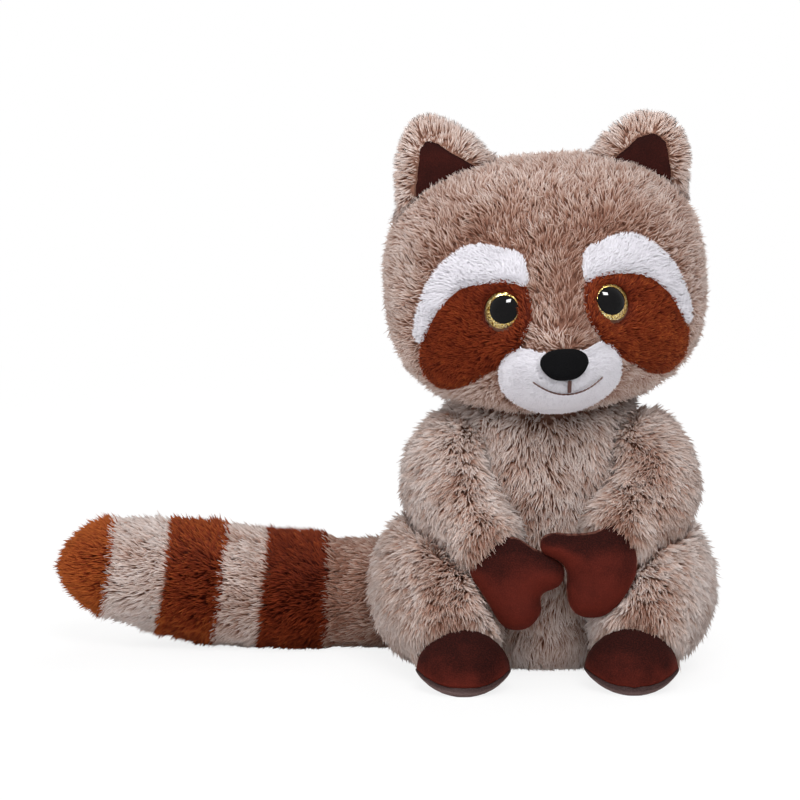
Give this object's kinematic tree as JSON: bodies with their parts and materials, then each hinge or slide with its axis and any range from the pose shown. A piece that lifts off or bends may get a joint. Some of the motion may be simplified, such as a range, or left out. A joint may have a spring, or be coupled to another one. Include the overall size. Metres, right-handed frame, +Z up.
{
  "type": "plush raccoon",
  "caption": "Sitting stuffed plush raccoon with a brown eye mask, white brows and muzzle, dark short-nap paws and feet, and a ringed tail lying out to one side.",
  "frame": {"origin": "middle of the flat seat under the torso, on the surface that the toy sits on", "axes": "+Z up, the toy looks along -Y, its own left side is at +X and its tail lies out along -X"},
  "size_m": [0.2909, 0.1469, 0.2437],
  "materials": {
    "mottled_pile": "long mottled pile, beige over brown",
    "rust_pile": "short rust brown pile",
    "white_pile": "short white pile",
    "velour": "dark brown short-nap velour",
    "sole_velour": "grey-brown short-nap velour",
    "nose_flock": "black flock",
    "mouth_thread": "dark brown sewing thread",
    "eye_plastic": "black, polished",
    "eye_glitter": "gold glitter under a clear coat",
    "washer_plastic": "white, moulded"
  },
  "bodies": {
    "root": {"arm_left": "mottled_pile", "arm_right": "mottled_pile", "brow_patch_left": "white_pile", "brow_patch_right": "white_pile", "ear_left": "mottled_pile", "ear_lining_left": "velour", "ear_lining_right": "velour", "ear_right": "mottled_pile", "eye_left": "eye_plastic", "eye_right": "eye_plastic", "eye_ring_left": "eye_glitter", "eye_ring_right": "eye_glitter", "eye_washer_left": "washer_plastic", "eye_washer_right": "washer_plastic", "foot_left": "velour", "foot_right": "velour", "head": "mottled_pile", "leg_left": "mottled_pile", "leg_right": "mottled_pile", "mask_patch_left": "rust_pile", "mask_patch_right": "rust_pile", "mouth_line": "mouth_thread", "mouth_smile": "mouth_thread", "muzzle": "white_pile", "nose": "nose_flock", "paw_left": "velour", "paw_right": "velour", "sole_left": "sole_velour", "sole_right": "sole_velour", "tail_band_1": "mottled_pile", "tail_band_2": "rust_pile", "tail_band_3": "mottled_pile", "tail_band_4": "rust_pile", "tail_band_5": "mottled_pile", "tail_tip": "rust_pile", "torso": "mottled_pile"}
  },
  "joints": []
}
